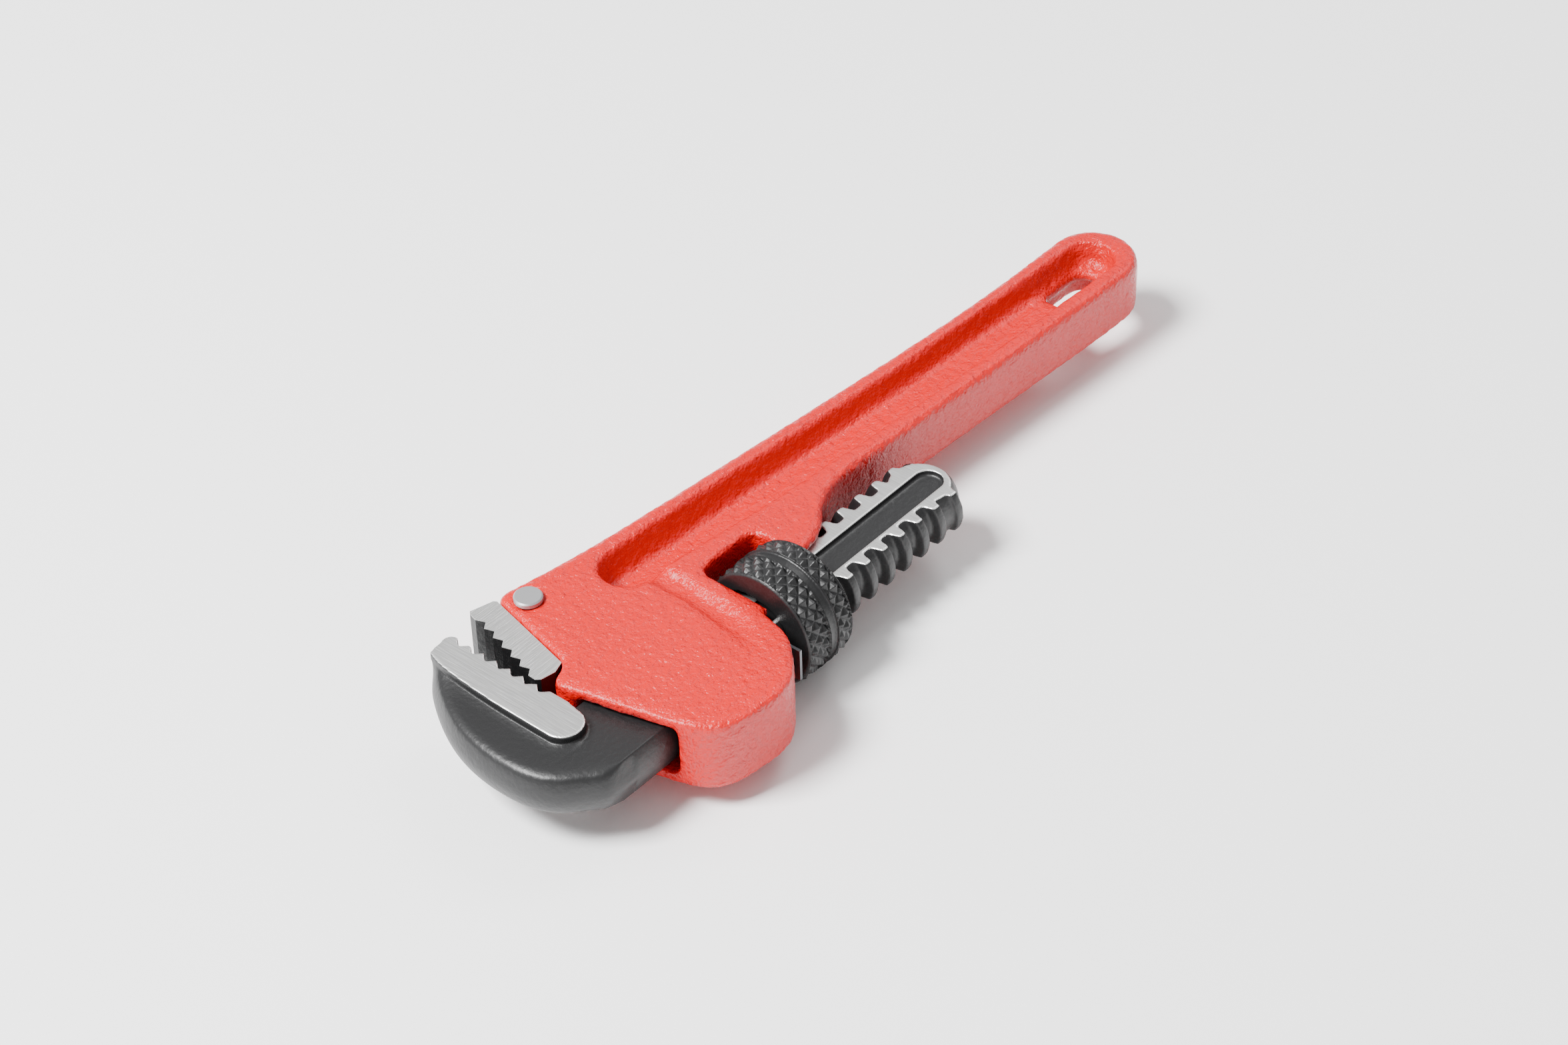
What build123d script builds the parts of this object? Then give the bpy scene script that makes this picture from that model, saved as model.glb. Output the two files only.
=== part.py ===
from build123d import *
import math
import os

# Heavy-duty pipe wrench, 200 mm class, millimetres.
# Design frame: X runs along the shank of the hook jaw, from the jaws to the handle end. Y points to the
# side of the heel jaw pin. Z is up and everything is symmetric about Z = 0, apart from the pin head.
# The origin is the centre of the adjusting nut. At the very end all pieces are moved together, so that
# the wrench's box is centred on X = Y = 0 and stands on Z = 0.

# --- thread of the shank and the nut -----------------------------------------------------------------
PITCH = 5.0                 # single start, right hand
CREST_R = 8.33
ROOT_R = 6.37
CREST_W = 1.6               # width of a ridge at its crest
BASE_W = 2.9                # width of a ridge at the core
CREST_AT = -0.81            # X of a crest on the +Y side
THREAD_GAP = 0.15           # running gap between the two threads
THREAD_X = (-10.5, 43.5)    # the shank's thread runs between these
RIDGE_SINK = 0.4            # how deep a ridge is rooted in the core

# --- hook jaw ------------------------------------------------------------------------------------------
SHANK_H = 4.6               # half thickness on the ground faces
SHANK_END_X = 47.2
SHANK_END_R = 7.4
PANEL_Y = (-3.6, 2.1)       # recessed panel in both faces of the shank
PANEL_X = (-12.0, 44.2)
PANEL_DEPTH = 1.1
NECK_HALF_W = 8.4
NECK_X = -48.0
JAW_H = 6.6                 # half thickness of both toothed jaws
HOOK_TIP_X = -46.6          # line of the hook jaw's tooth tips
HOOK_ROOT_Y = 33.9          # first root, nearest the toe
HOOK_PITCH = 3.2
HOOK_DEPTH = 1.4
HOOK_ROOTS = 7
HOOK_FALL = (1.3, 4.2)      # wide bevel round the hook's back: down, inward

# --- heel jaw and its pin --------------------------------------------------------------------------------
SEAT = (-40.0, 16.6)        # lower end of the seat in the casting
SEAT_ANGLE = 13.45          # the seat leans towards the handle
HEEL_LENGTH = 21.2
HEEL_ROOT = (-40.5, 34.5)   # first root, nearest the toe
HEEL_STEP = (-0.83, -2.93)  # from one root to the next
HEEL_TOOTH = (-1.45, -1.0)  # from a root to the tip below it
HEEL_ROOTS = 6
TONGUE_ALONG = (12.2, 20.0)
TONGUE_LENGTH = 7.4
TONGUE_H = 3.0
TONGUE_GAP = 0.05
PIN_AT = (-32.1, 31.9)
PIN_R = 2.0
PIN_HEAD_R = 2.7
PIN_HEAD_H = 1.0

# --- adjusting nut -----------------------------------------------------------------------------------------
NUT_HALF = 6.15
NUT_R = 12.2
NUT_BAND_R = 11.6
NUT_BAND_X = (-0.45, 1.6)   # smooth band between the two knurled bands
NUT_RIM = 0.9               # chamfer on the outer rims

# --- casting: housing and handle -----------------------------------------------------------------------
FACE_H = 7.6                # half thickness of the housing
HANDLE_H = 6.25             # half thickness of the handle's flanges
FALL_X = (-5.0, 55.0)       # the thickness falls from the housing's to the handle's between these
WEB_H = 1.3                 # half thickness of the handle's web
EDGE_R = 1.3                # rounding of the handle's edges
WINDOW_X = (-6.6, 7.8)
WINDOW_TOP_Y = 13.4
WINDOW_R = 2.0
PASSAGE_Y = (-9.5, 9.3)
PASSAGE_H = 5.0
END_AT = (116.1, 16.6)      # round end of the handle
END_R = 9.1
PANEL_DRAFT = 14            # draft of the handle panel's walls
PANEL_FLOOR_R = 1.2
HOLE_X = (104.0, 116.3)     # hanging hole
HOLE_Y = (13.6, 19.5)
GROOVE_DEPTH = 1.4          # shallow groove from the window's corner down the housing

# --- springs ----------------------------------------------------------------------------------------------
LEAF_X = (-38.0, -8.6)      # the flat spring lies along the passage between these
LEAF_T = 0.6
LEAF_HALF_W = 3.4
LEAF_TAB = 2.4              # length of its bent end
COIL_X = -24.0
COIL_R = 1.7
COIL_WIRE = 0.6
COIL_LENGTH = 5.6
COIL_TURNS = 4
POCKET_R = 2.5

BIG = 80.0                  # larger than any piece, for cutting shapes


def slab(face, half):
    """A flat outline thickened to both sides of the middle plane."""
    return Pos(0, 0, -half) * extrude(face, amount=2 * half)


def block(x, y, z):
    """A box between two limits on each axis."""
    size = [b - a for a, b in (x, y, z)]
    middle = [(a + b) / 2 for a, b in (x, y, z)]
    return Pos(*middle) * Box(*size)


def rod_x(radius, x0, x1):
    """A cylinder along X from x0 to x1."""
    return Pos((x0 + x1) / 2, 0, 0) * Rotation(0, 90, 0) * Cylinder(radius, x1 - x0)


def both_faces(cut):
    """A cut for the upper face together with its mirror image for the lower face."""
    return cut + mirror(cut, about=Plane.XY)


def seat_point(along, out):
    """A point given along the heel jaw's seat and out from it, towards the hook jaw."""
    lean = math.radians(SEAT_ANGLE)
    x = SEAT[0] + along * math.sin(lean) - out * math.cos(lean)
    y = SEAT[1] + along * math.cos(lean) + out * math.sin(lean)
    return (x, y)


# --- thread ------------------------------------------------------------------------------------------------
def thread_ridge(x_from, x_to, grow=0.0):
    """Helical ridge about X between two planes; grow makes it fatter and taller for the nut's groove."""
    start = CREST_AT + PITCH * (math.floor((x_from - CREST_AT) / PITCH) - 1)
    turns = math.ceil((x_to - start) / PITCH) + 1
    helix = Helix(PITCH, PITCH * turns, ROOT_R)
    base = BASE_W / 2 + grow
    crest = CREST_W / 2 + grow
    top = CREST_R - ROOT_R + grow
    points = [(-RIDGE_SINK, -base), (0, -base), (top, -crest), (top, crest), (0, base), (-RIDGE_SINK, base)]
    profile = Plane.XZ * make_face(Polyline(*points, close=True))
    ridge = sweep(Pos(ROOT_R, 0, 0) * profile, path=helix, is_frenet=True)
    along_x = Plane(origin=(start, 0, 0), x_dir=(0, 1, 0), z_dir=(1, 0, 0))
    span = block((x_from, x_to), (-2 * CREST_R, 2 * CREST_R), (-2 * CREST_R, 2 * CREST_R))
    return (along_x.location * ridge) & span


# --- hook jaw -----------------------------------------------------------------------------------------------
def hook_outline():
    """Plan of the hook, from the toe round its back to the neck and up the toothed front."""
    toe = ThreePointArc((HOOK_TIP_X, 35.6), (-47.2, 36.9), (-49.0, 37.2))
    toe += Line((-49.0, 37.2), (-51.6, 37.0))
    back = Spline((-51.6, 37.0), (-56.9, 32.4), (-62.5, 22.3), (-64.6, 8.4), (-61.0, -2.6),
                  (-56.3, -7.0), (-51.0, -NECK_HALF_W), tangents=[(-1, -0.35), (1, 0)])
    neck = Polyline((-51.0, -NECK_HALF_W), (NECK_X + 8, -NECK_HALF_W), (NECK_X + 8, NECK_HALF_W),
                    (HOOK_TIP_X, NECK_HALF_W), (HOOK_TIP_X, 35.6))
    return make_face(toe + back + neck)


def hook_body():
    """Black forged body with a wide bevel that falls away towards the curve of its back."""
    half = extrude(hook_outline(), amount=SHANK_H)
    face = half.faces().sort_by(Axis.Z)[-1]
    rim = [e for e in face.edges() if e.length > 20 and e.center().X < -52]
    return both_faces(chamfer(rim, HOOK_FALL[0], HOOK_FALL[1], reference=face))


def jaw_strip():
    """Raised strip that carries the hook jaw's teeth, ground flat on both faces."""
    back = Spline((-52.4, 36.8), (-54.2, 29.0), (-54.9, 19.0), (-55.1, 5.4), tangents=[(-0.5, -1), (0, -1)])
    foot = ThreePointArc((-55.1, 5.4), (-51.3, 2.1), (-47.2, 5.6))
    front = Polyline((-47.2, 5.6), (HOOK_TIP_X, 9.0), (HOOK_TIP_X, 35.6))
    toe = ThreePointArc((HOOK_TIP_X, 35.6), (-47.2, 36.9), (-49.0, 37.2))
    toe += Line((-49.0, 37.2), (-52.4, 36.8))
    return slab(make_face(back + foot + front + toe), JAW_H)


def hook_notches():
    """Notches between the hook jaw's teeth."""
    root_x = HOOK_TIP_X - HOOK_DEPTH
    over = HOOK_TIP_X + 1.0
    cuts = []
    for i in range(HOOK_ROOTS):
        y = HOOK_ROOT_Y - i * HOOK_PITCH
        wide = HOOK_PITCH * 0.5 * (over - root_x) / HOOK_DEPTH
        notch = make_face(Polyline((root_x, y), (over, y + wide), (over, y - wide), close=True))
        cuts.append(slab(notch, BIG))
    return cuts


def shank():
    """Threaded shank, ground flat on both faces, with its round end."""
    end_x = SHANK_END_X - SHANK_END_R
    flats = block((-BIG, BIG), (-BIG, BIG), (-SHANK_H, SHANK_H))
    plain = rod_x(NECK_HALF_W, NECK_X, THREAD_X[0])
    core = rod_x(ROOT_R, THREAD_X[0] - 1, end_x) + Pos(end_x, 0, 0) * Sphere(SHANK_END_R)
    return ((plain + core) & flats) + (thread_ridge(*THREAD_X) & flats)


def shank_panel():
    """Recess in the upper face of the shank, with a round blind end."""
    y = (PANEL_Y[0] + PANEL_Y[1]) / 2
    x = (PANEL_X[0] + PANEL_X[1]) / 2
    outline = Pos(x, y) * SlotOverall(PANEL_X[1] - PANEL_X[0], PANEL_Y[1] - PANEL_Y[0])
    return Pos(0, 0, SHANK_H - PANEL_DEPTH) * extrude(outline, amount=PANEL_DEPTH + 1)


def make_hook_jaw():
    jaw = hook_body() + jaw_strip() + shank()
    return jaw - hook_notches() - both_faces(shank_panel())


# --- heel jaw and pin ---------------------------------------------------------------------------------------
def heel_outline():
    """Plan of the heel jaw: plain back, saw teeth in front, plain toe and foot."""
    points = [seat_point(0, 0), seat_point(HEEL_LENGTH - 0.5, 0), seat_point(HEEL_LENGTH, 0.5)]
    points += [(-40.2, 38.7), (-40.7, 38.2), (-41.2, 36.4)]
    for i in range(HEEL_ROOTS):
        x = HEEL_ROOT[0] + i * HEEL_STEP[0]
        y = HEEL_ROOT[1] + i * HEEL_STEP[1]
        points.append((x, y))
        points.append((x + HEEL_TOOTH[0], y + HEEL_TOOTH[1]))
    points += [(-46.2, 17.2), (-45.5, 16.4), (-42.5, 15.8)]
    return make_face(Polyline(*points, close=True))


def tongue(gap=0.0):
    """Tongue behind the heel jaw, which the pin goes through."""
    low = TONGUE_ALONG[0] - gap
    high = TONGUE_ALONG[1] + gap
    back = -TONGUE_LENGTH - gap
    corners = [(low, 1), (low, back), (high, back), (high, 1)]
    return slab(make_face(Polyline(*[seat_point(a, b) for a, b in corners], close=True)), TONGUE_H + gap)


def pin_hole():
    return Pos(*PIN_AT) * Cylinder(PIN_R, BIG)


def make_heel_jaw():
    return slab(heel_outline(), JAW_H) + tongue() - pin_hole()


def make_pin():
    shaft = Cylinder(PIN_R, 2 * FACE_H)
    shaft = chamfer(shaft.edges().group_by(Axis.Z)[0], 0.25)
    head = Cylinder(PIN_HEAD_R, PIN_HEAD_H, align=(Align.CENTER, Align.CENTER, Align.MIN))
    head = chamfer(head.edges().group_by(Axis.Z)[-1], 0.25)
    return Pos(*PIN_AT) * (shaft + Pos(0, 0, FACE_H) * head)


# --- adjusting nut ----------------------------------------------------------------------------------------
def make_nut():
    front = rod_x(NUT_R, -NUT_HALF, NUT_BAND_X[0])
    front = chamfer(front.edges().group_by(Axis.X)[0], NUT_RIM)
    rear = rod_x(NUT_R, NUT_BAND_X[1], NUT_HALF)
    rear = chamfer(rear.edges().group_by(Axis.X)[-1], NUT_RIM)
    nut = front + rear + rod_x(NUT_BAND_R, NUT_BAND_X[0] - 1, NUT_BAND_X[1] + 1)
    nut -= rod_x(ROOT_R + THREAD_GAP, -NUT_HALF - 1, NUT_HALF + 1)
    return nut - thread_ridge(-NUT_HALF - 1, NUT_HALF + 1, grow=THREAD_GAP)


# --- casting ------------------------------------------------------------------------------------------------
def window_outline():
    """The nut window's front wall, round-cornered top and rear wall."""
    x0, x1 = WINDOW_X
    y, r = WINDOW_TOP_Y, WINDOW_R
    c = r * (1 - math.sqrt(0.5))
    outline = Line((x0, 4.0), (x0, y - r)) + ThreePointArc((x0, y - r), (x0 + c, y - c), (x0 + r, y))
    outline += Line((x0 + r, y), (x1 - r, y)) + ThreePointArc((x1 - r, y), (x1 - c, y - c), (x1, y - r))
    return outline + Line((x1, y - r), (x1, 4.0))


def casting_outline():
    """Plan of the whole casting: housing, nut window, lug, handle and its round end."""
    end_x, end_y = END_AT
    seat_top = seat_point(20.4, 0)
    front = Polyline(seat_top, seat_point(-0.5, 0), (-42.9, 14.8))
    nose = ThreePointArc((-42.9, 14.8), (-45.0, 13.6), (-45.3, 11.6))
    mouth = Spline((-45.3, 11.6), (-43.4, 4.0), (-41.4, -4.0), (-39.4, -11.3),
                   tangents=[(0.4, -1), (0.3, -1)])
    lobe = Spline((-39.4, -11.3), (-34.5, -17.4), (-29.0, -18.7), (-18.5, -18.2), (-12.2, -12.9),
                  (-9.5, -8.9), (-7.3, -1.5), (WINDOW_X[0], 4.0), tangents=[(0.3, -1), (0, 1)])
    lug = window_outline() + ThreePointArc((WINDOW_X[1], 4.0), (8.4, 3.0), (9.6, 2.7))
    lug += Line((9.6, 2.7), (12.5, 3.0))
    lug += Spline((12.5, 3.0), (18.2, 5.3), (23.3, 9.0), (30.0, 11.1), (36.0, 11.2),
                  tangents=[(1, 0.2), (1, -0.05)])
    near = Spline((36.0, 11.2), (66.0, 9.7), (96.0, 8.2), (end_x, end_y - END_R),
                  tangents=[(1, -0.05), (1, 0)])
    end = ThreePointArc((end_x, end_y - END_R), (end_x + END_R, end_y), (end_x, end_y + END_R))
    far = Spline((end_x, end_y + END_R), (96.3, 25.8), (56.3, 28.4), (15.6, 31.3), (-16.9, 34.4),
                 (-33.4, 37.4), tangents=[(-1, 0), (-1, 0.2)])
    corner = Line((-33.4, 37.4), seat_top)
    return make_face(front + nose + mouth + lobe + lug + near + end + far + corner)


def side_envelope():
    """Thickness along the wrench: the housing's, then a soft fall to the handle's."""
    x0, x1 = FALL_X
    middle = ((x0 + x1) / 2, (FACE_H + HANDLE_H) / 2)
    level = x1 - x0
    top = Spline((-BIG, FACE_H), (x0 - level / 2, FACE_H), (x0, FACE_H), middle, (x1, HANDLE_H),
                 (x1 + level / 2, HANDLE_H), (2 * BIG, HANDLE_H), tangents=[(1, 0), (1, 0)])
    rest = Polyline((2 * BIG, HANDLE_H), (2 * BIG, 0), (-BIG, 0), (-BIG, FACE_H))
    return both_faces(Pos(0, BIG, 0) * extrude(Plane.XZ * make_face(top + rest), amount=2 * BIG))


def handle_panel():
    """Tapered recess in the upper face of the handle, with drafted walls and round ends."""
    start = ThreePointArc((-12.0, 19.6), (-19.3, 25.0), (-13.0, 29.7))
    far = Polyline((-13.0, 29.7), (15.6, 27.9), (66.0, 24.3), (112.0, 22.2), (115.3, 22.2))
    end = ThreePointArc((115.3, 22.2), (120.7, 16.8), (115.3, 11.2))
    near = Polyline((115.3, 11.2), (66.0, 13.2), (15.6, 16.5), (-12.0, 19.6))
    depth = FACE_H - WEB_H
    outline = make_face(start + far + end + near)
    pocket = extrude(outline, amount=-depth, taper=PANEL_DRAFT)
    pocket = fillet(pocket.edges().group_by(Axis.Z)[0], PANEL_FLOOR_R)
    return Pos(0, 0, FACE_H) * pocket


def housing_groove():
    """Shallow groove from the panel down the housing, running out at its lower tip."""
    left = Spline((-14.4, 20.0), (-14.4, 9.1), (-16.4, -2.9), (-17.6, -9.6), tangents=[(0, -1), (-0.1, -1)])
    right = Spline((-17.6, -9.6), (-14.9, -6.9), (-11.9, -0.9), (-10.5, 9.1), (-10.4, 20.0),
                   tangents=[(1, 0.6), (0, 1)])
    outline = make_face(left + right + Line((-10.4, 20.0), (-14.4, 20.0)))
    wedge = Polyline((-9.6, FACE_H), (-9.6, BIG), (20.0, BIG), (20.0, FACE_H - GROOVE_DEPTH),
                     (4.0, FACE_H - GROOVE_DEPTH), close=True)
    slope = Pos(-BIG, 0, 0) * extrude(Plane.YZ * make_face(wedge), amount=2 * BIG)
    return slab(outline, 2 * BIG) & slope


def hanging_hole():
    """Hanging hole through the web: square towards the jaws, round towards the end."""
    x0, x1 = HOLE_X
    y0, y1 = HOLE_Y
    r = (y1 - y0) / 2
    outline = Polyline((x1 - r, y0), (x0, y0), (x0, y1), (x1 - r, y1))
    outline += ThreePointArc((x1 - r, y1), (x1, (y0 + y1) / 2), (x1 - r, y0))
    return slab(make_face(outline), BIG)


def passage():
    """Slot for the hook jaw's shank: through the housing, and on under the lug's two cheeks."""
    through = block((-BIG, WINDOW_X[1]), PASSAGE_Y, (-PASSAGE_H, PASSAGE_H))
    under_lug = block((0, 40), (-BIG / 2, PASSAGE_Y[1]), (-PASSAGE_H, PASSAGE_H))
    return through + under_lug


def coil_pocket():
    """Blind pocket for the coil spring in the -Y wall of the passage."""
    depth = COIL_LENGTH + 0.05
    return Pos(COIL_X, PASSAGE_Y[0] - depth / 2, 0) * Rotation(90, 0, 0) * Cylinder(POCKET_R, depth)


def rounded_casting():
    """Outer shape of the casting, with the handle's long edges and round end softened."""
    body = slab(casting_outline(), FACE_H) & side_envelope()
    rims = [e for e in body.edges() if e.length > 20 and abs(e.center().Z) > 1 and e.center().X > 20]
    return fillet(rims, EDGE_R)


def make_handle_body():
    body = rounded_casting()
    body -= [hanging_hole(), passage(), coil_pocket(), tongue(TONGUE_GAP), pin_hole()]
    body -= both_faces(handle_panel())
    return body - both_faces(housing_groove())


# --- springs -----------------------------------------------------------------------------------------------
def make_flat_spring():
    """Leaf along the wall of the passage, its rear end bent over the casting's rear face."""
    x0, x1 = LEAF_X
    wall = PASSAGE_Y[0]
    width = (-LEAF_HALF_W, LEAF_HALF_W)
    leaf = block((x0, x1), (wall, wall + LEAF_T), width)
    tab = block((x1 - LEAF_T, x1), (wall - LEAF_TAB, wall + LEAF_T), width)
    return leaf + tab


def make_coil_spring():
    rise = COIL_LENGTH - COIL_WIRE
    helix = Helix(rise / COIL_TURNS, rise, COIL_R)
    wire = Plane(origin=helix @ 0, z_dir=helix % 0) * Circle(COIL_WIRE / 2)
    coil = sweep(wire, path=helix, is_frenet=True)
    foot_y = PASSAGE_Y[0] - COIL_WIRE / 2 - 0.05
    return Pos(COIL_X, foot_y, 0) * Rotation(90, 0, 0) * coil


def main():
    pieces = {
        "handle_body": make_handle_body(),
        "hook_jaw": make_hook_jaw(),
        "adjusting_nut": make_nut(),
        "heel_jaw": make_heel_jaw(),
        "heel_jaw_pin": make_pin(),
        "flat_spring": make_flat_spring(),
        "coil_spring": make_coil_spring(),
    }
    boxes = [piece.bounding_box() for piece in pieces.values()]
    middle_x = (min(b.min.X for b in boxes) + max(b.max.X for b in boxes)) / 2
    middle_y = (min(b.min.Y for b in boxes) + max(b.max.Y for b in boxes)) / 2
    floor_z = min(b.min.Z for b in boxes)
    print("moved by", -middle_x, -middle_y, -floor_z)
    os.makedirs("parts", exist_ok=True)
    for name, piece in pieces.items():
        export_step(Pos(-middle_x, -middle_y, -floor_z) * piece, f"parts/{name}.step")


main()
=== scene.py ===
"""Pipe wrench: a Blender add-on with one operator for each piece, run as a script."""

import math

import bpy
import numpy as np
from mathutils import Matrix, Vector
from mathutils import noise as bl_noise


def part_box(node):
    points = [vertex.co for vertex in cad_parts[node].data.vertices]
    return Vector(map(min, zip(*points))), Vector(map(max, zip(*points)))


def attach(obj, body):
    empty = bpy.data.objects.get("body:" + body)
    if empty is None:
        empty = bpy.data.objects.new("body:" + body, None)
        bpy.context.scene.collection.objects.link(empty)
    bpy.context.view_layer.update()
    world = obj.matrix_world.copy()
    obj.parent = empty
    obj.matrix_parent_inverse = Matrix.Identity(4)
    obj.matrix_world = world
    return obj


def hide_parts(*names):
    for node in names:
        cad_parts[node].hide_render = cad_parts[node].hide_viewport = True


bl_info = {
    "name": "Pipe wrench",
    "version": (1, 0, 0),
    "blender": (4, 5, 0),
    "location": "View3D > Sidebar > Wrench",
    "description": "Dresses the wrench's frame with cast, forged, ground and knurled surfaces",
    "category": "Object",
}

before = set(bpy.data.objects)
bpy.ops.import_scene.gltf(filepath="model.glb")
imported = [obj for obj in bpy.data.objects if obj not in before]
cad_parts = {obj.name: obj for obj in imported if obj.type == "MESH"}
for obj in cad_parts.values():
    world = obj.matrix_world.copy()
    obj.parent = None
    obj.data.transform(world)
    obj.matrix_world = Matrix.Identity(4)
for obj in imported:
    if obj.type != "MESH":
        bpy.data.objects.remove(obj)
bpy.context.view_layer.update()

MM = 0.001

# Places along X are from the nut's centre, and levels are distances from the wrench's middle plane.
STRIP_LEVEL = 6.45 * MM          # the jaw strip's ground faces are above this level
SHANK_LEVEL = 4.45 * MM          # the shank's ground faces are above this level
SHANK_START = -14 * MM           # and behind this place
HEEL_LEVEL = 6.5 * MM            # the heel jaw's ground faces are above this level
BACK_START = -51 * MM            # the hook's back is in front of this place
BACK_BLEND = 3 * MM              # its rounding grows to full over this length
BACK_LEVEL = 4.9 * MM            # and stays below this level, clear of the jaw strip
LUMP_SIZE = 1.3 * MM             # width of the casting's lumps
KNURL_SKIN = 0.45 * MM           # the knurl is cut where the nut is this close to its largest radius
PLAIN_BAND = (-0.6 * MM, 1.75 * MM)    # stretch of the nut between its two knurled bands

# Factors on X, Y and Z that draw a streak pattern out along one axis.
ALONG_X = (0.05, 1.0, 1.0)
ALONG_Y = (1.0, 0.05, 1.0)

FORGED_ROUGHNESS = 0.42
GROUND_SHINE = -0.08             # change of roughness on a ground face
GROUND_METALLIC = 0.9
STREAK_SHADE = 0.6               # darkest streak, as a share of the ground colour
STREAK_LIGHT = [1.0, 1.0, 0.99]

CAMERA_SHIFT = (-14.8109, -1.18426)          # camera to the right of and above its target, in millimetres
CAMERA_TARGET = (-4.3358, -7.8533, 16.8)     # in millimetres, in the frame
FLOOR_REACH = 4                              # metres from the middle to the floor's edge


# --- settings -------------------------------------------------------------------------------------
class CastingSettings(bpy.types.PropertyGroup):
    voxel: bpy.props.FloatProperty(
        name="Voxel", description="Size of the casting's surface mesh", default=0.4 * MM, unit="LENGTH")
    rounding: bpy.props.IntProperty(
        name="Rounding", description="Smoothing passes that round the cast edges", default=22)
    peel: bpy.props.FloatProperty(
        name="Peel", description="Strength of the enamel's orange peel", default=1.0, subtype="FACTOR")
    relief: bpy.props.FloatProperty(
        name="Relief", description="Depth of the casting's own lumps", default=0.16 * MM, unit="LENGTH")
    enamel: bpy.props.FloatVectorProperty(
        name="Enamel", description="Colour of the enamel", default=(0.6, 0.0, 0.001), size=3,
        subtype="COLOR")


class ForgingSettings(bpy.types.PropertyGroup):
    voxel: bpy.props.FloatProperty(
        name="Voxel", description="Size of the hook jaw's surface mesh", default=0.28 * MM, unit="LENGTH")
    back_rounding: bpy.props.IntProperty(
        name="Back rounding", description="Smoothing passes over the hook's back", default=70)
    black: bpy.props.FloatVectorProperty(
        name="Black", description="Colour of the forged skin", default=(0.008, 0.008, 0.0085), size=3,
        subtype="COLOR")
    bright: bpy.props.FloatVectorProperty(
        name="Bright", description="Colour of the ground faces", default=(0.86, 0.86, 0.85), size=3,
        subtype="COLOR")


class NutSettings(bpy.types.PropertyGroup):
    voxel: bpy.props.FloatProperty(
        name="Voxel", description="Size of the nut's surface mesh", default=0.2 * MM, unit="LENGTH")
    knurl_depth: bpy.props.FloatProperty(
        name="Knurl depth", description="Depth of the knurl's grooves", default=0.85 * MM, unit="LENGTH")
    knurl_count: bpy.props.IntProperty(
        name="Knurl count", description="Pyramids round the nut", default=26)


class StageSettings(bpy.types.PropertyGroup):
    azimuth: bpy.props.FloatProperty(
        name="Azimuth", description="Direction of the view", default=math.radians(-48.6962), subtype="ANGLE")
    elevation: bpy.props.FloatProperty(
        name="Elevation", description="Height of the view above the floor", default=math.radians(39.7518),
        subtype="ANGLE")
    roll: bpy.props.FloatProperty(
        name="Roll", description="Turn of the camera about its view", default=math.radians(1.8614),
        subtype="ANGLE")
    distance: bpy.props.FloatProperty(
        name="Distance", description="Camera to the target's plane", default=0.680283, unit="LENGTH")
    lens: bpy.props.FloatProperty(
        name="Lens", description="Focal length in millimetres", default=85.0)


# --- meshes ---------------------------------------------------------------------------------------
def nut_centre():
    """Centre of the adjusting nut, where the shank's axis meets the wrench's middle plane."""
    low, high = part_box("adjusting_nut")
    return (Vector(low) + Vector(high)) / 2


def remeshed(node, voxel):
    """A copy of a frame node as an even mesh of small quads."""
    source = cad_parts[node]
    obj = bpy.data.objects.new(node + "_skin", source.data.copy())
    bpy.context.scene.collection.objects.link(obj)
    obj.data.materials.clear()
    modifier = obj.modifiers.new("even", "REMESH")
    modifier.mode = "VOXEL"
    modifier.voxel_size = voxel
    graph = bpy.context.evaluated_depsgraph_get()
    mesh = bpy.data.meshes.new_from_object(obj.evaluated_get(graph))
    obj.modifiers.clear()
    obj.data = mesh
    if len(mesh.vertices) < 1000:
        raise RuntimeError(f"{node} lost its surface in remeshing")
    return obj


def coordinates(mesh):
    """Vertex places of a mesh as an array."""
    flat = np.zeros(len(mesh.vertices) * 3, np.float32)
    mesh.vertices.foreach_get("co", flat)
    return flat.reshape(-1, 3).astype(float)


def set_coordinates(mesh, places):
    """Moves a mesh's vertices to the places in an array."""
    mesh.vertices.foreach_set("co", places.astype(np.float32).ravel())
    mesh.update()


def edge_ends(mesh):
    """First and second vertex of each edge."""
    flat = np.zeros(len(mesh.edges) * 2, np.int32)
    mesh.edges.foreach_get("vertices", flat)
    return flat[0::2], flat[1::2]


def smoothed(mesh, passes, weight):
    """Moves each vertex towards the middle of its neighbours, by weight, for some passes."""
    first, second = edge_ends(mesh)
    places = coordinates(mesh)
    count = np.bincount(first, minlength=len(places)) + np.bincount(second, minlength=len(places))
    count = np.maximum(count, 1)[:, None]
    share = np.broadcast_to(np.asarray(weight, float), (len(places),))[:, None]
    for _ in range(passes):
        total = np.zeros_like(places)
        for axis in range(3):
            total[:, axis] += np.bincount(first, places[second, axis], len(places))
            total[:, axis] += np.bincount(second, places[first, axis], len(places))
        places += share * (total / count - places)
    set_coordinates(mesh, places)


def lumpy(mesh, size, depth):
    """Sinks the surface in soft irregular hollows of about a size, no deeper than a depth."""
    places = coordinates(mesh)
    normals = np.zeros(len(mesh.vertices) * 3, np.float32)
    mesh.vertices.foreach_get("normal", normals)
    sink = np.array([bl_noise.noise(Vector(p) / size) for p in places])
    amount = depth * (np.clip(sink, -0.8, 0.8) - 0.8) / 1.6
    set_coordinates(mesh, places + normals.reshape(-1, 3) * amount[:, None])


def finish_piece(obj, node, body, material):
    """Gives a skin its material and its body, and hides the node it stands for."""
    obj.data.materials.clear()
    obj.data.materials.append(material)
    obj.data.polygons.foreach_set("use_smooth", [True] * len(obj.data.polygons))
    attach(obj, body)
    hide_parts(node)


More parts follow.
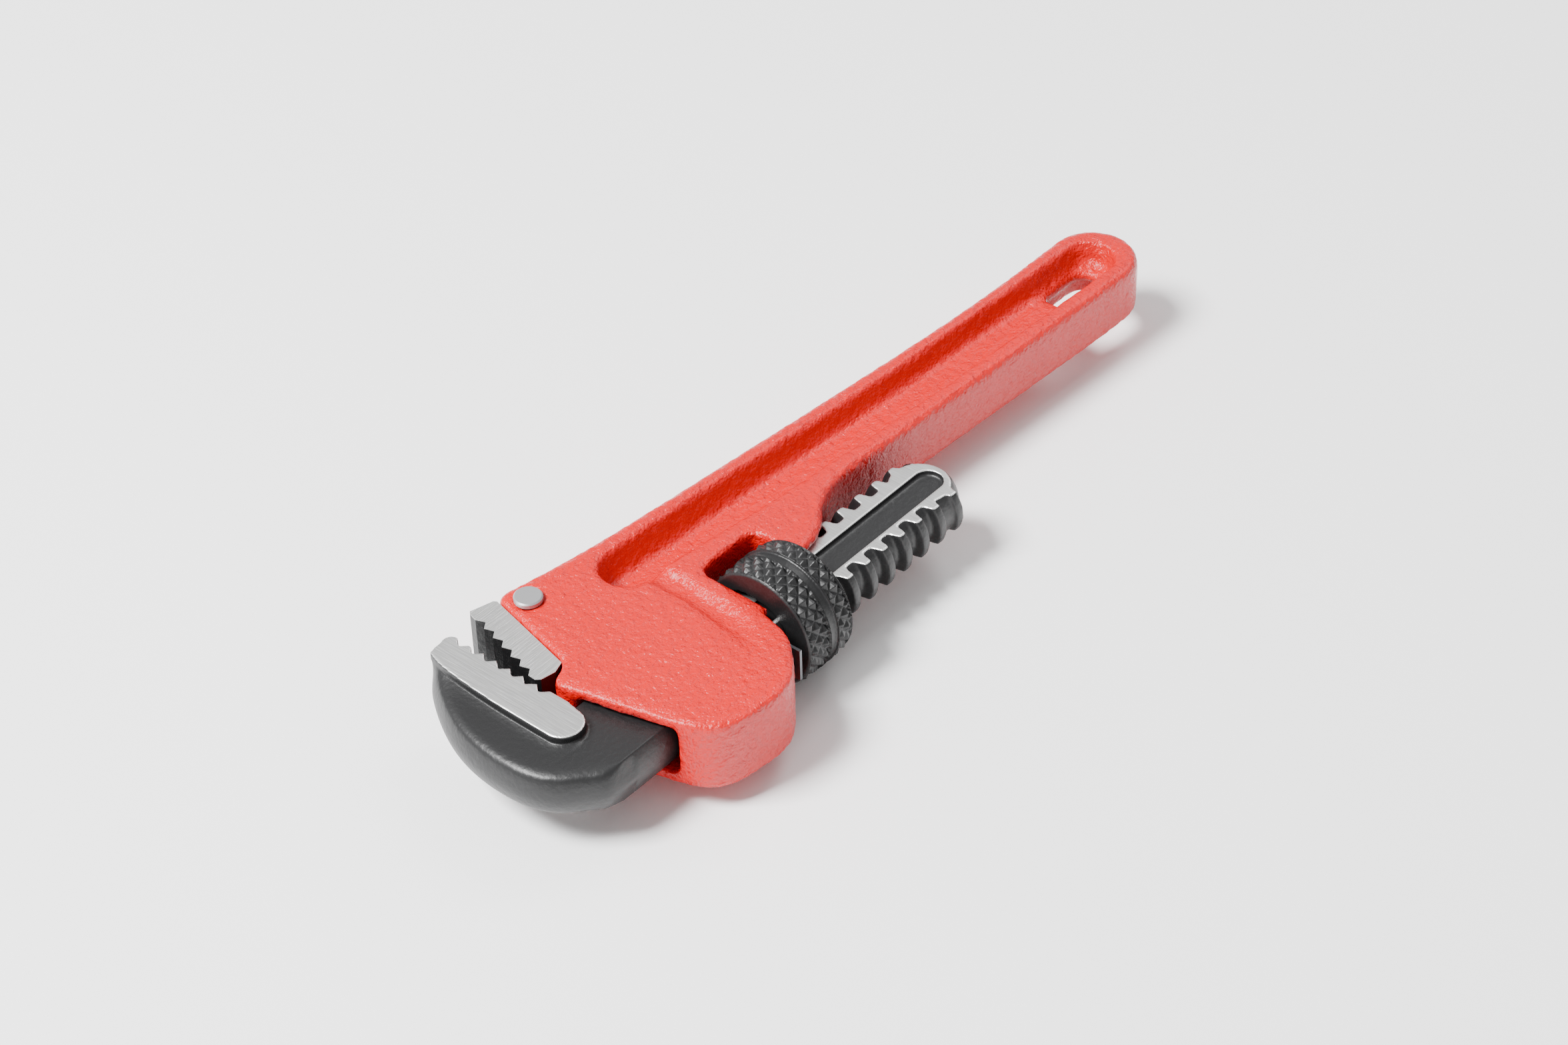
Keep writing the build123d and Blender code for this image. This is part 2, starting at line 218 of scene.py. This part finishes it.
# --- materials ------------------------------------------------------------------------------------
def new_material(name):
    """A node material with its shader and its links ready."""
    material = bpy.data.materials.new(name)
    material.use_nodes = True
    return material, material.node_tree, material.node_tree.nodes["Principled BSDF"]


def add_node(tree, kind, **inputs):
    """A shader node whose named inputs are set or linked."""
    node = tree.nodes.new(kind)
    for key, value in inputs.items():
        socket = node.inputs[key.replace("_", " ")]
        if isinstance(value, bpy.types.NodeSocket):
            tree.links.new(value, socket)
        else:
            socket.default_value = value
    return node


def calc(tree, operation, a, b=0.0, c=0.0):
    """Result of a maths node."""
    node = tree.nodes.new("ShaderNodeMath")
    node.operation = operation
    for socket, value in zip(node.inputs, (a, b, c)):
        if isinstance(value, bpy.types.NodeSocket):
            tree.links.new(value, socket)
        else:
            socket.default_value = value
    return node.outputs[0]


def place(tree):
    """Object coordinates and their three parts."""
    coordinate = tree.nodes.new("ShaderNodeTexCoord").outputs["Object"]
    parts = add_node(tree, "ShaderNodeSeparateXYZ", Vector=coordinate).outputs
    return coordinate, parts[0], parts[1], parts[2]


def noise(tree, where, scale, detail=3.0):
    """Soft noise between 0 and 1."""
    return add_node(tree, "ShaderNodeTexNoise", Vector=where, Scale=scale, Detail=detail).outputs["Fac"]


def stretched(tree, where, factors):
    """Coordinates stretched by a factor on each axis."""
    node = tree.nodes.new("ShaderNodeVectorMath")
    node.operation = "MULTIPLY"
    tree.links.new(where, node.inputs[0])
    node.inputs[1].default_value = factors
    return node.outputs[0]


def bump(tree, shader, height, strength, distance):
    """Roughens a shader's surface by a height pattern."""
    node = add_node(tree, "ShaderNodeBump", Height=height, Strength=strength, Distance=distance)
    tree.links.new(node.outputs[0], shader.inputs["Normal"])


def mixed(tree, factor, first, second):
    """Mix of two colours or patterns: the first where the factor is 0, the second where it is 1."""
    node = tree.nodes.new("ShaderNodeMix")
    node.data_type = "RGBA"
    tree.links.new(factor, node.inputs[0])
    for socket, value in ((node.inputs[6], first), (node.inputs[7], second)):
        if isinstance(value, bpy.types.NodeSocket):
            tree.links.new(value, socket)
        else:
            socket.default_value = (*value, 1.0)
    return node.outputs[2]


def enamel(settings):
    """Gloss enamel over an as-cast skin: coarse lumps with a fine orange peel."""
    material, tree, shader = new_material("red enamel")
    where, _, _, _ = place(tree)
    lumps = noise(tree, where, 650, 2.0)
    peel = noise(tree, where, 1900, 3.0)
    height = calc(tree, "MULTIPLY_ADD", lumps, 0.7, calc(tree, "MULTIPLY", peel, 0.4))
    bump(tree, shader, height, settings.peel, 0.8 * MM)
    tone = mixed(tree, noise(tree, where, 60), settings.enamel, [c * 0.9 for c in settings.enamel])
    tree.links.new(tone, shader.inputs["Base Color"])
    shader.inputs["Roughness"].default_value = 0.24
    shader.inputs["Specular IOR Level"].default_value = 0.42
    shader.inputs["Coat Weight"].default_value = 0.08
    shader.inputs["Coat Roughness"].default_value = 0.12
    return material


def forged_grain(tree, where):
    """Fine grain of a forged skin."""
    return noise(tree, where, 900, 4.0)


def forged_bump(tree, shader, height):
    """Relief of a forged or ground surface."""
    bump(tree, shader, height, 0.5, 0.2 * MM)


def forged(name, settings, faces, grind=ALONG_Y):
    """Black forged skin, ground bright where faces(tree, x, y, z) is 1, with streaks along grind's axis."""
    material, tree, shader = new_material(name)
    where, x, y, z = place(tree)
    ground = faces(tree, x, y, z)
    streaks = noise(tree, stretched(tree, where, grind), 3200, 3.0)
    bright = mixed(tree, streaks, [c * STREAK_SHADE for c in settings.bright], STREAK_LIGHT)
    tree.links.new(mixed(tree, ground, settings.black, bright), shader.inputs["Base Color"])
    tree.links.new(calc(tree, "MULTIPLY", ground, GROUND_METALLIC), shader.inputs["Metallic"])
    roughness = calc(tree, "MULTIPLY_ADD", ground, GROUND_SHINE, FORGED_ROUGHNESS)
    tree.links.new(roughness, shader.inputs["Roughness"])
    forged_bump(tree, shader, mixed(tree, ground, forged_grain(tree, where), streaks))
    return material


def black_forging(name, settings):
    """Black forged skin with nothing ground."""
    material, tree, shader = new_material(name)
    where, _, _, _ = place(tree)
    shader.inputs["Base Color"].default_value = (*settings.black, 1.0)
    shader.inputs["Metallic"].default_value = 0.0
    shader.inputs["Roughness"].default_value = FORGED_ROUGHNESS
    forged_bump(tree, shader, forged_grain(tree, where))
    return material


def level_mask(tree, z, middle, level):
    """1 where the distance from the middle plane is above a level."""
    away = calc(tree, "ABSOLUTE", calc(tree, "SUBTRACT", z, middle))
    return calc(tree, "GREATER_THAN", away, level)


def hook_faces(tree, x, y, z):
    """The jaw strip's faces, and the shank's faces outside its recessed panel."""
    centre = nut_centre()
    strip = level_mask(tree, z, centre.z, STRIP_LEVEL)
    flat = level_mask(tree, z, centre.z, SHANK_LEVEL)
    on_shank = calc(tree, "GREATER_THAN", x, centre.x + SHANK_START)
    return calc(tree, "MAXIMUM", strip, calc(tree, "MULTIPLY", flat, on_shank))


def heel_faces(tree, x, y, z):
    """The heel jaw's upper and lower faces."""
    return level_mask(tree, z, nut_centre().z, HEEL_LEVEL)


def plain_steel(name, colour, roughness, metallic=0.9):
    """Steel of one colour with a faint grain."""
    material, tree, shader = new_material(name)
    where, _, _, _ = place(tree)
    bump(tree, shader, noise(tree, where, 2500), 0.1, 0.05 * MM)
    shader.inputs["Base Color"].default_value = (*colour, 1.0)
    shader.inputs["Metallic"].default_value = metallic
    shader.inputs["Roughness"].default_value = roughness
    return material


# --- operators ------------------------------------------------------------------------------------
class WRENCH_OT_casting(bpy.types.Operator):
    """Rounded, enamelled casting: housing, lug and handle."""
    bl_idname = "wrench.casting"
    bl_label = "Casting"

    def execute(self, context):
        settings = context.scene.wrench_casting
        obj = remeshed("handle_body", settings.voxel)
        smoothed(obj.data, settings.rounding, 0.6)
        lumpy(obj.data, LUMP_SIZE, settings.relief)
        finish_piece(obj, "handle_body", "handle", enamel(settings))
        return {"FINISHED"}


class WRENCH_OT_hook_jaw(bpy.types.Operator):
    """Forged hook jaw with a rounded back, ground strip, teeth and threaded shank."""
    bl_idname = "wrench.hook_jaw"
    bl_label = "Hook jaw"

    def execute(self, context):
        settings = context.scene.wrench_forging
        obj = remeshed("hook_jaw", settings.voxel)
        centre = nut_centre()
        places = coordinates(obj.data)
        away_x = places[:, 0] - centre.x
        height = np.abs(places[:, 2] - centre.z)
        back = np.clip((BACK_START - away_x) / BACK_BLEND, 0, 1) * (height < BACK_LEVEL)
        smoothed(obj.data, 3, 0.5)
        smoothed(obj.data, settings.back_rounding, back * 0.8)
        finish_piece(obj, "hook_jaw", "hook_jaw",
                     forged("forged jaw", settings, hook_faces))
        return {"FINISHED"}


class WRENCH_OT_nut(bpy.types.Operator):
    """Adjusting nut with two bands of diamond knurling."""
    bl_idname = "wrench.nut"
    bl_label = "Adjusting nut"

    def execute(self, context):
        settings = context.scene.wrench_nut
        obj = remeshed("adjusting_nut", settings.voxel)
        centre = nut_centre()
        places = coordinates(obj.data)
        from_axis = places - np.array(centre)
        radius = np.hypot(from_axis[:, 1], from_axis[:, 2])
        angle = np.arctan2(from_axis[:, 2], from_axis[:, 1])
        turn = angle / (2 * math.pi) * settings.knurl_count
        pitch = 2 * math.pi * radius.max() / settings.knurl_count
        x = from_axis[:, 0]
        along = x / pitch
        groove = [2 * np.abs((turn + sign * along) % 1 - 0.5) for sign in (-1, 1)]
        depth = settings.knurl_depth * np.maximum(*groove)
        banded = (x < PLAIN_BAND[0]) | (x > PLAIN_BAND[1])
        knurled = (radius > radius.max() - KNURL_SKIN) & banded
        scale = 1 - np.where(knurled, depth, 0) / np.maximum(radius, MM)
        places[:, 1:] = np.array(centre)[1:] + from_axis[:, 1:] * scale[:, None]
        set_coordinates(obj.data, places)
        finish_piece(obj, "adjusting_nut", "adjusting_nut",
                     black_forging("black nut", context.scene.wrench_forging))
        return {"FINISHED"}


class WRENCH_OT_small_steel(bpy.types.Operator):
    """Finishes of the heel jaw, its pin and the two springs."""
    bl_idname = "wrench.small_steel"
    bl_label = "Heel jaw, pin and springs"

    def execute(self, context):
        finishes = {
            "heel_jaw": forged("ground heel", context.scene.wrench_forging, heel_faces, ALONG_X),
            "heel_jaw_pin": plain_steel("pin", (0.42, 0.42, 0.43), 0.4, 0.7),
            "flat_spring": plain_steel("leaf", (0.12, 0.12, 0.13), 0.35),
            "coil_spring": plain_steel("coil", (0.2, 0.2, 0.21), 0.35),
        }
        for node, material in finishes.items():
            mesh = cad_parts[node].data
            mesh.materials.clear()
            mesh.materials.append(material)
        return {"FINISHED"}


class WRENCH_OT_stage(bpy.types.Operator):
    """Pale floor, soft light and the camera."""
    bl_idname = "wrench.stage"
    bl_label = "Stage"

    def execute(self, context):
        floor()
        lights()
        camera(context.scene.wrench_stage)
        return {"FINISHED"}


def floor():
    """A pale floor at the height of the frame's zero."""
    mesh = bpy.data.meshes.new("floor")
    far = FLOOR_REACH
    mesh.from_pydata([(-far, -far, 0), (far, -far, 0), (far, far, 0), (-far, far, 0)], [], [(0, 1, 2, 3)])
    obj = bpy.data.objects.new("floor", mesh)
    bpy.context.scene.collection.objects.link(obj)
    material, _, shader = new_material("pale floor")
    shader.inputs["Base Color"].default_value = (0.97, 0.97, 0.97, 1.0)
    shader.inputs["Roughness"].default_value = 0.9
    mesh.materials.append(material)


def lights():
    """An even pale surround and two large soft lamps."""
    world = bpy.data.worlds.new("surround")
    world.use_nodes = True
    world.node_tree.nodes["Background"].inputs["Color"].default_value = (1, 1, 1, 1)
    world.node_tree.nodes["Background"].inputs["Strength"].default_value = 0.62
    bpy.context.scene.world = world
    lamps = (("key", (-0.7, 0.35, 1.1), 56.0, 0.45), ("fill", (0.85, 0.1, 1.0), 5.0, 0.5))
    for name, spot, power, size in lamps:
        lamp = bpy.data.lights.new(name, "AREA")
        lamp.energy = power
        lamp.size = size
        obj = bpy.data.objects.new(name, lamp)
        obj.location = spot
        obj.rotation_euler = (-Vector(spot)).to_track_quat("-Z", "Y").to_euler()
        bpy.context.scene.collection.objects.link(obj)


def camera(settings):
    """A long lens at the chosen azimuth, elevation, roll and distance."""
    az, el, roll = settings.azimuth, settings.elevation, settings.roll
    back = Vector((math.sin(az) * math.cos(el), -math.cos(az) * math.cos(el), math.sin(el)))
    right = Vector((math.cos(az), math.sin(az), 0))
    up = back.cross(right)
    turned_right = math.cos(roll) * right - math.sin(roll) * up
    turned_up = math.sin(roll) * right + math.cos(roll) * up
    offset = Vector((*CAMERA_SHIFT, settings.distance / MM)) * MM
    target = Vector(CAMERA_TARGET) * MM
    place_at = target + turned_right * offset.x + turned_up * offset.y + back * offset.z
    data = bpy.data.cameras.new("view")
    data.lens = settings.lens
    data.sensor_width = 36.0
    obj = bpy.data.objects.new("view", data)
    axes = Matrix((turned_right, turned_up, back)).transposed().to_4x4()
    obj.matrix_world = Matrix.Translation(place_at) @ axes
    bpy.context.scene.collection.objects.link(obj)
    bpy.context.scene.camera = obj


# --- panel and registration -----------------------------------------------------------------------
OPERATORS = (WRENCH_OT_casting, WRENCH_OT_hook_jaw, WRENCH_OT_nut, WRENCH_OT_small_steel, WRENCH_OT_stage)
SETTINGS = {
    "wrench_casting": CastingSettings,
    "wrench_forging": ForgingSettings,
    "wrench_nut": NutSettings,
    "wrench_stage": StageSettings,
}


class WRENCH_PT_panel(bpy.types.Panel):
    """Lists the wrench's pieces."""
    bl_label = "Pipe wrench"
    bl_idname = "WRENCH_PT_panel"
    bl_space_type = "VIEW_3D"
    bl_region_type = "UI"
    bl_category = "Wrench"

    def draw(self, context):
        for operator in OPERATORS:
            self.layout.operator(operator.bl_idname)


def register():
    for cls in (*SETTINGS.values(), *OPERATORS, WRENCH_PT_panel):
        bpy.utils.register_class(cls)
    for name, cls in SETTINGS.items():
        setattr(bpy.types.Scene, name, bpy.props.PointerProperty(type=cls))


def unregister():
    for name in SETTINGS:
        delattr(bpy.types.Scene, name)
    for cls in reversed((*SETTINGS.values(), *OPERATORS, WRENCH_PT_panel)):
        bpy.utils.unregister_class(cls)


def main():
    register()
    bpy.ops.wrench.casting()
    bpy.ops.wrench.hook_jaw()
    bpy.ops.wrench.nut()
    bpy.ops.wrench.small_steel()
    bpy.ops.wrench.stage()


if __name__ == "__main__":
    main()
